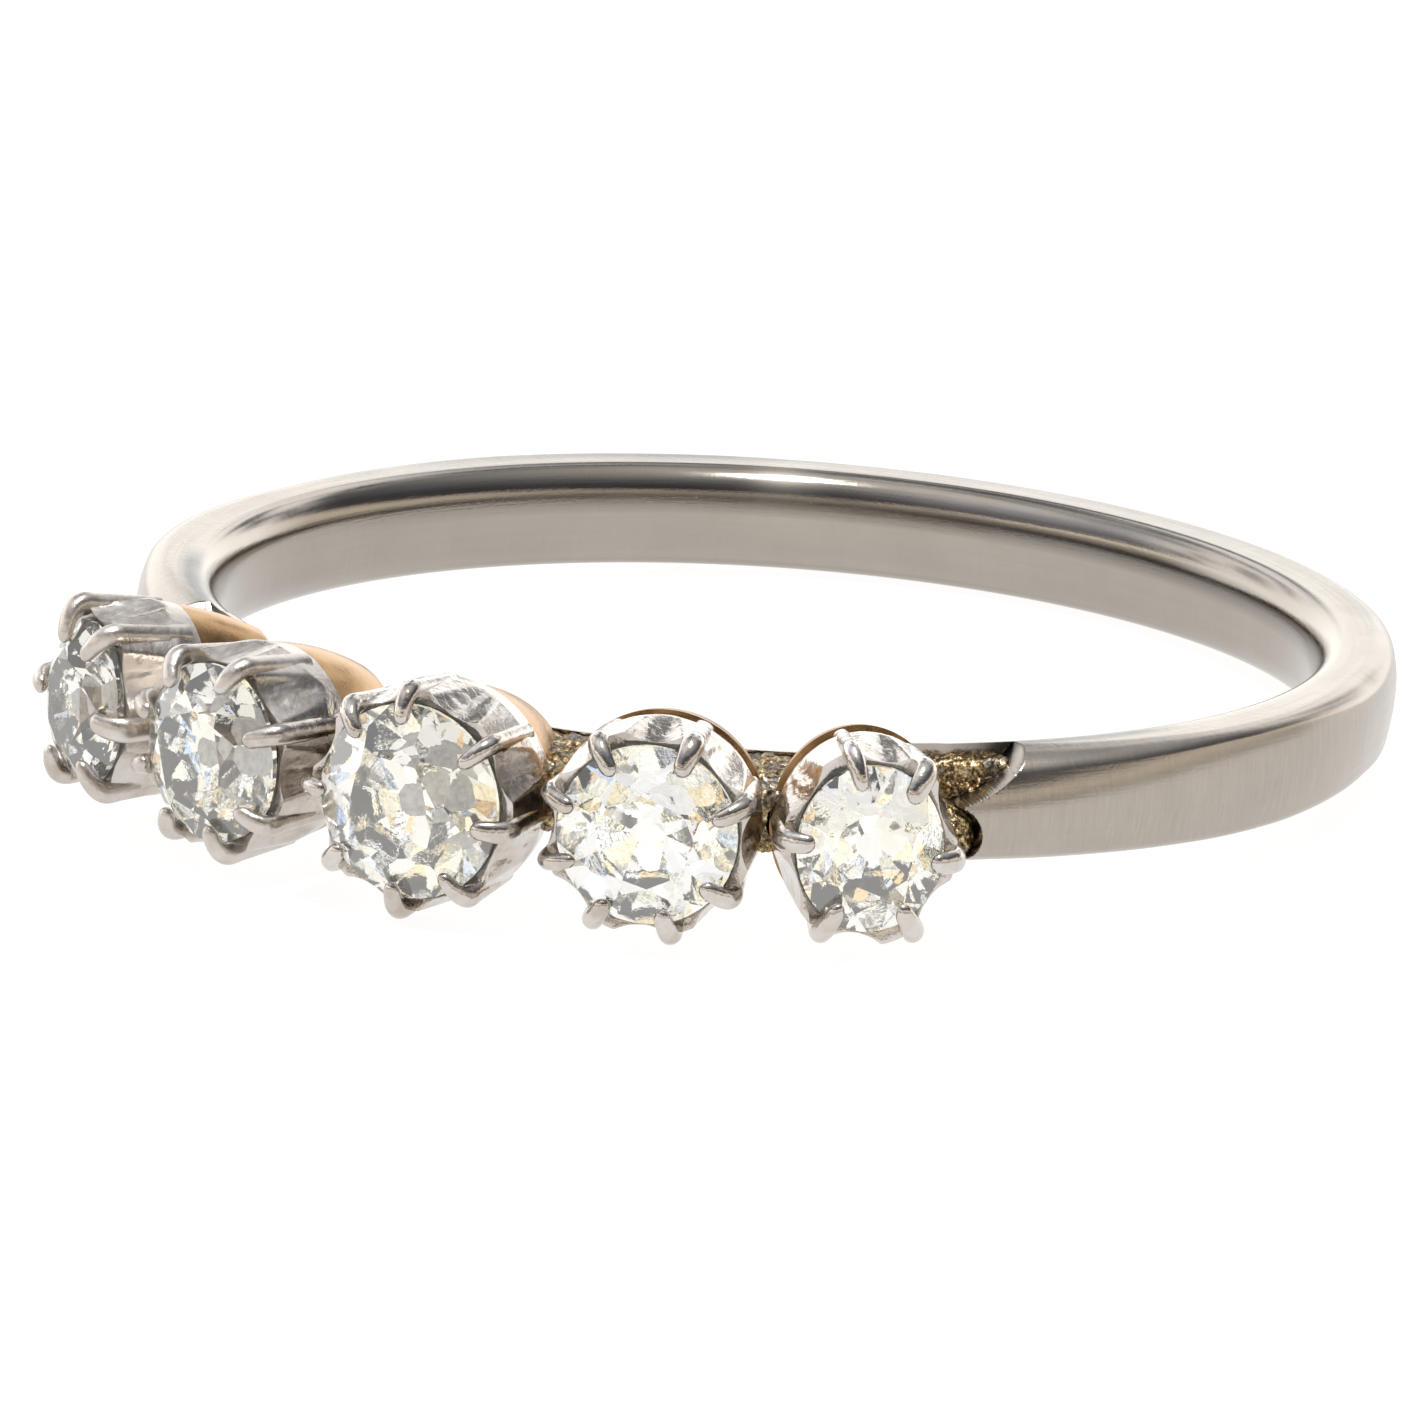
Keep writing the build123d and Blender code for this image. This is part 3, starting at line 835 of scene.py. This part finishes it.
class Nodes:
    """A tree of shader nodes, and short ways to add the kinds that are used here."""

    def __init__(self, tree):
        self.tree = tree

    def node(self, kind, settings, inputs, output=0):
        """Adds a node, sets it up, fills or links its sockets, and returns one output, if any."""
        node = self.tree.nodes.new(kind)
        for key, value in settings.items():
            if key == "stops":
                self.set_stops(node.color_ramp, value)
            else:
                setattr(node, key, value)
        for key, value in inputs.items():
            if isinstance(value, Value):
                self.tree.links.new(value.socket, node.inputs[key])
            else:
                node.inputs[key].default_value = value
        return Value(self, node.outputs[output]) if node.outputs else None

    @staticmethod
    def set_stops(ramp, stops):
        """Gives a colour ramp its stops, as (position, colour) pairs."""
        while len(ramp.elements) < len(stops):
            ramp.elements.new(0.5)
        for element, (position, colour) in zip(ramp.elements, stops):
            element.position = position
            element.color = (*colour, 1)

    def noise(self, where, scale, detail=4, roughness=0.6):
        """Smooth cloudy noise between 0 and 1 of this many spots per millimetre."""
        return self.node("ShaderNodeTexNoise", {}, {"Vector": where, "Scale": scale, "Detail": detail,
                                                    "Roughness": roughness})

    def ramp(self, value, stops):
        """Colours picked along a value."""
        return self.node("ShaderNodeValToRGB", {"stops": stops}, {0: value})

    def mix(self, share, colour, other):
        """The first colour, blended towards the other by this share."""
        return self.node("ShaderNodeMix", {"data_type": "RGBA"}, {0: share, 6: colour, 7: other}, 2)

    def vectors(self, operation, inputs, output=0):
        """Sums on colours and directions."""
        return self.node("ShaderNodeVectorMath", {"operation": operation}, inputs, output)

    def between(self, value, low, high, new_low, new_high):
        """The value's place between two limits, carried over to two others and held there."""
        return self.node("ShaderNodeMapRange", {"clamp": True}, {
            "Value": value, "From Min": low, "From Max": high, "To Min": new_low, "To Max": new_high})


class Finish(Nodes):
    """One material: its Principled shader's constants, and the nodes that vary over the surface."""

    def __init__(self, name, constants):
        self.material = bpy.data.materials.new(name)
        self.material.use_nodes = True
        super().__init__(self.material.node_tree)
        self.shader = self.tree.nodes["Principled BSDF"]
        for socket, value in constants.items():
            self.shader.inputs[socket].default_value = value
        self.place = self.node("ShaderNodeTexCoord", {}, {}, "Object")

    def feed(self, socket, value):
        """Links a value to one socket of the Principled shader."""
        self.tree.links.new(value.socket, self.shader.inputs[socket])

    def millimetres(self, stretch=(1, 1, 1)):
        """The point on the surface in millimetres, with each direction scaled."""
        scale = tuple(1000 * s for s in stretch)
        return self.vectors("MULTIPLY", {0: self.place, 1: scale})

    def axes(self):
        """The point's three distances from the ring's centre, in millimetres."""
        x = self.node("ShaderNodeSeparateXYZ", {}, {0: self.millimetres()}, "X")
        return x, *(Value(self, x.socket.node.outputs[name]) for name in ("Y", "Z"))

    def bump(self, height, depth):
        """Turns a height between 0 and 1 into a surface relief of this depth in millimetres."""
        relief = self.node("ShaderNodeBump", {}, {"Height": height, "Distance": depth * mm,
                                                  "Strength": 1.0})
        self.feed("Normal", relief)


def dress(piece, finish, node):
    """Gives a piece its material, puts it under the root body, and hides the construction model's node that
    it replaces.
    """
    piece.data.materials.clear()
    piece.data.materials.append(finish.material)
    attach(piece, "root")
    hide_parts(node)


# %% [markdown]
# ## Worn platinum, with painted reflections
# The band looks long worn: with wear, platinum dulls to a grey satin full of fine marks. Across
# the front the photograph shows very fine streaks, and scratches run round the band. Both are
# noise stretched along one of the band's own directions, so the place on the surface is first
# unrolled: the angle round the finger times the radius, the height and the distance from the
# axis. The colour also holds painted dark reflections in three places, and painted shade inside.

# %% Band finish
def unrolled(finish, stretch):
    """The surface unrolled round the finger, in millimetres: arc length, height and radius."""
    x, y, z = finish.axes()
    arc = x.maths("ARCTAN2", y * -1) * outer_radius
    radius = (x * x + y * y) ** 0.5
    return finish.node("ShaderNodeCombineXYZ", {}, {
        0: arc * stretch[0], 1: z * stretch[1], 2: radius * stretch[2]})


def worn_platinum_painted_reflections():
    """Satin platinum: cloudy roughness and fine marks along and across the band. Three painted dark
    reflections are laid where the photograph shows the metal dark: at the top of the back, mostly on
    its left, along the upper part of the inside there, and on the rail's edge beside the end collets.
    The whole inside is also painted a little darker, as shade."""
    finish = Finish("worn_platinum_painted_reflections", {"Metallic": 1.0, "IOR": 2.3})
    between = finish.between
    lines = finish.noise(unrolled(finish, (0.35, 14, 14)), 1.0, detail=5, roughness=0.65)
    cross = finish.noise(unrolled(finish, (18, 1.6, 5)), 1.0)
    clouds = finish.noise(finish.millimetres(), 0.8, detail=3)
    grain = finish.noise(finish.millimetres(), 26, detail=2)
    x, y, z = finish.axes()
    radius = (x * x + y * y) ** 0.5
    inside = between(radius, 8.85, 9.2, 1, 0)
    cross = (cross - 0.5) * (1 - inside * 0.7) + 0.5
    at_back = between(y, 1, 8, 0, 1)
    # Painted dark reflections: masks for the top of the back, the inside's upper edge and the rail's edge
    # beside the end collets.
    painted_dark_top = at_back * between(x, -4.5, -3, 1, 0.35) * between(z, 0.3, 0.5, 0, 0.95)
    painted_dark_top = painted_dark_top * between(radius, 9.1, 9.5, 0.1, 1)
    painted_dark_edge = inside * at_back * between(z, 0.08, 0.35, 0, 0.62) * between(z, 0.42, 0.55, 1, 0.1)
    painted_dark_rail = between(radius, 8.82, 8.93, 0, 1) * between(radius, 9.1, 9.3, 0.85, 0)
    painted_dark_rail = painted_dark_rail * between(y, -4, -3, 1, 0) * between(x.maths("ABSOLUTE"), 6.2, 6.8, 0, 1)
    metal = finish.ramp(clouds * 0.35 + lines * 0.2 + cross * 0.45, [
        (0.3, (0.39, 0.35, 0.31)), (0.55, (0.44, 0.4, 0.355)), (0.75, (0.49, 0.45, 0.41))])
    painted_dark = (painted_dark_top + painted_dark_edge + painted_dark_rail) * between(clouds + lines * 0.3, 0.4, 0.8, 0.85, 1)
    # The base colour goes dark under these painted reflections, and a little darker over the whole inside
    # as painted shade.
    finish.feed("Base Color", finish.mix(painted_dark + inside * 0.12, metal, (0.055, 0.056, 0.057, 1)))
    satin = between(clouds * 0.5 + lines * 0.5, 0.3, 0.7, 0.17, 0.3)
    finish.feed("Roughness", satin * (1 - inside * 0.45))
    finish.bump(lines * 0.4 + cross * 0.5 + grain * 0.3, 0.005)
    return finish


dress(band, worn_platinum_painted_reflections(), "shank")

# %% [markdown]
# ## Bright platinum
# The collets were cut and burnished, so they are bright, with a warm film in places. The
# photograph shows the two on the left softer and paler than the others. Whether that is wear or
# the lens can't be told from it, so a higher roughness on that side is a choice made for the look.

# %% Collet finish
def bright_platinum():
    """Bright platinum with fine unevenness and a faint warm film in places."""
    finish = Finish("bright_platinum", {"Metallic": 1.0, "IOR": 2.3})
    where = finish.millimetres()
    film = finish.noise(where, 1.6)
    marks = finish.noise(where, 6)
    finish.feed("Base Color", finish.ramp(film, [
        (0.35, (0.5, 0.45, 0.4)), (0.55, (0.62, 0.58, 0.54)), (0.7, (0.68, 0.65, 0.62))]))
    softer = finish.between(finish.axes()[0], -2.6, -1.8, 0.2, 0)
    finish.feed("Roughness", finish.between(film + marks * 0.3, 0.5, 0.85, 0.04, 0.2) + softer)
    finish.bump(marks, 0.014)
    return finish


collet_finish = bright_platinum()
for row, collet in zip(stones, collets):
    dress(collet, collet_finish, f"collet_{row['number']}")

# %% [markdown]
# ## Two golds
# The cups are smooth, warm gold. The solder is the same metal with grains, pits and a brown
# tarnish that gathers in them.

# %% Gold finishes
def smooth_gold():
    """Warm gold, softly uneven."""
    finish = Finish("smooth_gold", {"Metallic": 1.0, "IOR": 1.5})
    clouds = finish.noise(finish.millimetres(), 1.5)
    scratches = finish.noise(unrolled(finish, (2, 16, 8)), 1.0, detail=3)
    finish.feed("Base Color", finish.ramp(clouds, [
        (0.3, (0.36, 0.2, 0.085)), (0.5, (0.48, 0.29, 0.135)), (0.7, (0.6, 0.39, 0.2))]))
    finish.feed("Roughness", finish.between(clouds, 0.3, 0.7, 0.2, 0.36))
    finish.bump(scratches, 0.003)
    return finish


def grained_gold():
    """Rough solder: yellow grains with black pits between them, and greyer patches."""
    finish = Finish("grained_gold", {"Metallic": 1.0, "IOR": 1.5})
    grains = finish.noise(finish.millimetres(), 11, roughness=0.7)
    patches = finish.noise(finish.millimetres(), 2.5, detail=2)
    gold = finish.ramp(grains, [
        (0.36, (0.02, 0.016, 0.012)), (0.45, (0.16, 0.115, 0.06)), (0.53, (0.42, 0.3, 0.145)),
        (0.6, (0.72, 0.59, 0.36)), (0.7, (0.9, 0.82, 0.6))])
    grey = finish.ramp(grains, [
        (0.38, (0.05, 0.043, 0.037)), (0.5, (0.22, 0.19, 0.165)), (0.65, (0.5, 0.46, 0.42))])
    finish.feed("Base Color", finish.mix(finish.between(patches, 0.47, 0.62, 0, 1), gold, grey))
    finish.feed("Roughness", finish.between(grains, 0.4, 0.7, 0.4, 0.14))
    finish.bump(grains, 0.03)
    return finish


dress(cups, smooth_gold(), "gallery")
dress(solder, grained_gold(), "gallery")

# %% [markdown]
# ## Diamond
# Diamond bends light more than nearly every other gem, and most of what enters the table is thrown
# back by the pavilion. A transmission shader with the real index does the same, as long as the
# facets are true planes. Old stones are seldom quite white, so a warm tint is left in.
# In the photograph the culet shows as a pale disc in the fourth stone and as a small grey one in
# the third. A clear flat doesn't show like that here, so the culet is a matt facet that glows a
# little, more towards the right.

# %% Diamond finish
def old_diamond():
    """Clear stone with the index of diamond, a warm tint, a faint painted glow and fine surface wear."""
    finish = Finish("old_diamond", {"Metallic": 0.0, "IOR": 2.417, "Transmission Weight": 1.0,
                                    "Emission Strength": 0.02})
    tint = finish.noise(finish.millimetres(), 0.7, detail=1)
    finish.feed("Base Color", finish.ramp(tint, [
        (0.35, (0.98, 0.94, 0.83)), (0.5, (0.99, 0.98, 0.94)), (0.65, (0.96, 0.97, 0.99))]))
    wear_and_painted_glow = finish.noise(finish.millimetres(), 5, detail=3, roughness=0.65)
    finish.feed("Roughness", finish.between(wear_and_painted_glow, 0.55, 0.75, 0.0, 0.06))
    # Painted glow: the stone gives off a little light of its own, brighter where this noise is high.
    finish.feed("Emission Color", finish.ramp(wear_and_painted_glow, [(0.35, (0.7, 0.68, 0.62)), (0.7, (1, 0.99, 0.95))]))
    finish.bump(wear_and_painted_glow, 0.0014)
    return finish


def frosted_culet_painted_glow():
    """The small flat at the bottom, matt, with a faint painted glow that grows towards the right."""
    finish = Finish("frosted_culet_painted_glow", {"Metallic": 0.0, "IOR": 1.5, "Emission Strength": 0.8,
                                      "Roughness": 0.5})
    frost = finish.noise(finish.millimetres(), 8, detail=2)
    lit = finish.between(finish.axes()[0], 0.8, 3, 0.12, 0.85)
    finish.feed("Base Color", finish.ramp(frost, [(0.3, (0.5, 0.47, 0.45)), (0.7, (0.8, 0.78, 0.76))]))
    # Painted glow: the culet gives off light, more towards the right, as if lit from that side.
    finish.feed("Emission Color", finish.ramp(lit + frost * 0.15, [(0, (0, 0, 0)), (1, (1, 1, 1))]))
    return finish


diamond_finish = old_diamond()
culet_finish = frosted_culet_painted_glow()
culet_face = 1
for row, diamond in zip(stones, diamonds):
    dress(diamond, diamond_finish, f"stone_{row['number']}")
    diamond.data.materials.append(culet_finish.material)
    diamond.data.polygons[culet_face].material_index = 1

# %% [markdown]
# ## The floor
# The ring lies on its side as it would by itself: it touches with the lowest claw of the middle
# collet and with the back of the band, so the ring stays put and the pale floor leans by the few
# degrees between those two points.

# %% Lay the floor
head_low = min(v.co.z for v in collets[2].data.vertices)
head_y = min((v.co.z, v.co.y) for v in collets[2].data.vertices)[1]
back_low = -band_half_back * mm
back_y = outer_radius * mm
floor_slope = (back_low - head_low) / (back_y - head_y)
floor_size = 0.9
floor_mesh = bpy.data.meshes.new("floor")
floor_corners = [(x, y, head_low + (y - head_y) * floor_slope)
                 for x, y in ((-floor_size, -floor_size), (floor_size, -floor_size),
                              (floor_size, floor_size), (-floor_size, floor_size))]
floor_mesh.from_pydata(floor_corners, [], [(0, 1, 2, 3)])
floor = place("floor", floor_mesh)
light_table = Finish("light_table", {"Base Color": (0.035, 0.035, 0.035, 1), "Roughness": 0.6,
                                     "IOR": 1.5, "Emission Strength": 0.955})
weave = light_table.noise(light_table.millimetres((0.12, 0.12, 0.12)), 1.0, detail=6, roughness=0.7)
light_table.feed("Emission Color", light_table.ramp(weave, [
    (0.3, (0.985, 0.975, 0.96)), (0.7, (1.0, 0.995, 0.985))]))
floor_mesh.materials.append(light_table.material)
print("floor leans by", round(float(np.degrees(np.arctan(floor_slope))), 2), "degrees")

# %% [markdown]
# ## Camera
# The photograph looks as if taken with a long lens, low over the table and a little from the
# right of the head. Matching the band's two ellipses and the five stones gives the place: how
# far round, how high, how far away, and a slight roll. The ring sits a little right of and above
# the middle, so the camera looks past it by that many pixels of a 1404 pixel frame.

# %% Place the camera
picture_side = 1404
focal_pixels = 13685
camera_azimuth = 25.6
camera_elevation = 13.96
camera_distance = 0.2146
camera_roll = 3.725
ring_right_of_middle = 63.2
ring_above_middle = 52.0
sensor = 36.0

azimuth, elevation, roll = (np.radians(a) for a in (camera_azimuth, camera_elevation, camera_roll))
back = Vector((np.sin(azimuth) * np.cos(elevation), -np.cos(azimuth) * np.cos(elevation),
               np.sin(elevation)))
level_right = back.cross(Vector((0, 0, -1))).normalized()
level_up = back.cross(level_right).normalized()
right = level_right * np.cos(roll) + level_up * np.sin(roll)
up = level_up * np.cos(roll) - level_right * np.sin(roll)
ahead = (-back - right * (ring_right_of_middle / focal_pixels) - up * (ring_above_middle / focal_pixels))
ahead.normalize()
right = (right - ahead * right.dot(ahead)).normalized()
up = right.cross(ahead)
camera_data = bpy.data.cameras.new("camera")
camera_data.sensor_width = sensor
camera_data.lens = focal_pixels / picture_side * sensor
camera_data.clip_start = 0.02
camera_data.clip_end = 5
camera = place("camera", camera_data)
camera.matrix_world = Matrix.Translation(back * camera_distance) @ Matrix(
    (right, up, -ahead)).transposed().to_4x4()
bpy.context.scene.camera = camera
print("lens", round(camera_data.lens, 1), "mm, at", [round(v, 4) for v in camera.location])

# %% [markdown]
# ## Studio light
# The photograph's pale table is so bright that it lights the metal from below, under a small lamp
# high above. The metal shows whatever it faces. The room that it mirrors is worked out from the
# direction: dim bands at certain heights on the camera's side, which draw the dark stripes along
# the band, and a bright side with dark patches, which breaks up the claws and flutes. Rays that
# come through a stone see a room of their own, with small bright and dark spots, because that
# gives the old cut its broken sparkle. A real room has one look only, so this is a picture
# maker's trick. Both rooms were tuned for the photograph's angle.

# %% The lamp
def around(azimuth_degrees, elevation_degrees, distance):
    """A place round the ring, in millimetres, by the same angles as the camera's."""
    a, e = np.radians(azimuth_degrees), np.radians(elevation_degrees)
    return (distance * np.sin(a) * np.cos(e), -distance * np.cos(a) * np.cos(e), distance * np.sin(e))


key_data = bpy.data.lights.new("key_box", "AREA")
key_data.size = 14 * mm
key_data.energy = 1.0
key_data.color = (1, 0.98, 0.94)
key_light = place("key_box", key_data)
key_light.location = Vector(around(camera_azimuth - 4, 76, 300)) * mm
key_light.rotation_euler = (-key_light.location).to_track_quat("-Z", "Y").to_euler()

# %% The room that metal and stones see
world = bpy.data.worlds.new("room")
bpy.context.scene.world = world
world.use_nodes = True
room = Nodes(world.node_tree)
direction = room.node("ShaderNodeTexCoord", {}, {}, "Generated")
height = room.node("ShaderNodeSeparateXYZ", {}, {0: direction}, "Z")
towards_camera, towards_right = (
    room.vectors("DOT_PRODUCT", {0: direction, 1: around(camera_azimuth + turn, 0, 1)}, "Value")
    for turn in (0, 90))
dim_side = room.ramp(height * 0.5 + 0.5, [
    (0.0, (0.79, 0.77, 0.745)), (0.46, (0.79, 0.77, 0.745)), (0.5, (0.42, 0.39, 0.35)),
    (0.55, (0.45, 0.42, 0.37)), (0.575, (1.08, 0.98, 0.84)), (0.65, (1.08, 0.98, 0.84)),
    (0.685, (0.09, 0.09, 0.095)), (0.77, (0.1, 0.1, 0.115)), (0.86, (0.24, 0.25, 0.28)),
    (0.94, (0.55, 0.55, 0.55)), (1.0, (0.9, 0.89, 0.88))])
bright_side = room.ramp(height * 0.5 + 0.5, [
    (0.0, (0.5, 0.5, 0.49)), (0.49, (0.9, 0.9, 0.9)), (0.53, (1, 0.985, 0.96)),
    (0.64, (1, 0.985, 0.96)), (0.68, (0.72, 0.72, 0.72)),
    (0.8, (0.72, 0.72, 0.72)), (0.86, (0.4, 0.41, 0.43)), (0.94, (0.35, 0.36, 0.38)),
    (1.0, (0.6, 0.6, 0.6))])
spots = room.between(room.noise(direction, 6, detail=2), 0.47, 0.52, 0, 1)
dark_spot = room.between(towards_right, -0.5, 0.2, 0.5, 0.05)
patches = dark_spot + (1.25 - dark_spot) * spots
low = room.between(height, 0.28, 0.4, 1, 0)
patches = patches + low * (1 - patches)
left_bias = room.between(towards_right, -0.3, 0.6, -0.42, 0)
side = room.between(towards_camera + left_bias, -0.72, -0.4, 0, 1)
share = room.between(towards_right, -0.5, 0.6, 1.9, 1.95)
lifted = room.vectors("SCALE", {0: bright_side, "Scale": share * patches})
left_lift = 1 + room.between(towards_right, -0.75, -0.2, 2.6, 0) * room.between(height, 0.25, 0.35, 0, 1)
metal_room = room.mix(side, lifted, room.vectors("SCALE", {0: dim_side, "Scale": left_lift}))

sparkle = room.noise(direction, 9, detail=3, roughness=0.65)
tint = room.noise(direction, 2.3, detail=1)
stone_light = room.ramp(sparkle, [
    (0.37, (0.012, 0.013, 0.016)), (0.42, (0.14, 0.14, 0.14)), (0.45, (0.42, 0.42, 0.42)),
    (0.49, (0.62, 0.62, 0.62)), (0.53, (0.92, 0.92, 0.92)), (1.0, (1.15, 1.15, 1.15))])
stone_tint = room.ramp(tint, [
    (0.3, (0.5, 0.66, 0.97)), (0.4, (0.9, 0.94, 1)), (0.5, (1, 0.99, 0.92)),
    (0.57, (1, 0.93, 0.66)), (0.68, (1, 0.68, 0.36))])
stone_room = room.vectors("MULTIPLY", {0: stone_light, 1: stone_tint})
stone_room = room.vectors("SCALE", {0: stone_room, "Scale": 1.4})
through_stone = room.node("ShaderNodeLightPath", {}, {}, "Is Transmission Ray")
blend = room.mix(through_stone, metal_room, stone_room)
world.node_tree.links.new(blend.socket, world.node_tree.nodes["Background"].inputs["Color"])
bpy.context.scene.view_settings.view_transform = "Standard"

# %% [markdown]
# ## Flare
# A lens spreads a little of its brightest light. One spot at the back of the band mirrors a lamp,
# and in the picture it glows past its own edge. The compositor's glare node adds that glow to
# whatever is several times brighter than white, and leaves the rest as it is.

# %% Flare of the brightest glints
bpy.context.scene.use_nodes = True
picture = Nodes(bpy.context.scene.node_tree)
picture.tree.nodes.clear()
layers = picture.node("CompositorNodeRLayers", {}, {})
flared = picture.node("CompositorNodeGlare", {"glare_type": "BLOOM", "quality": "HIGH"}, {
    "Image": layers, "Threshold": 6.0, "Strength": 0.5, "Size": 0.25})
picture.node("CompositorNodeComposite", {}, {"Image": flared})
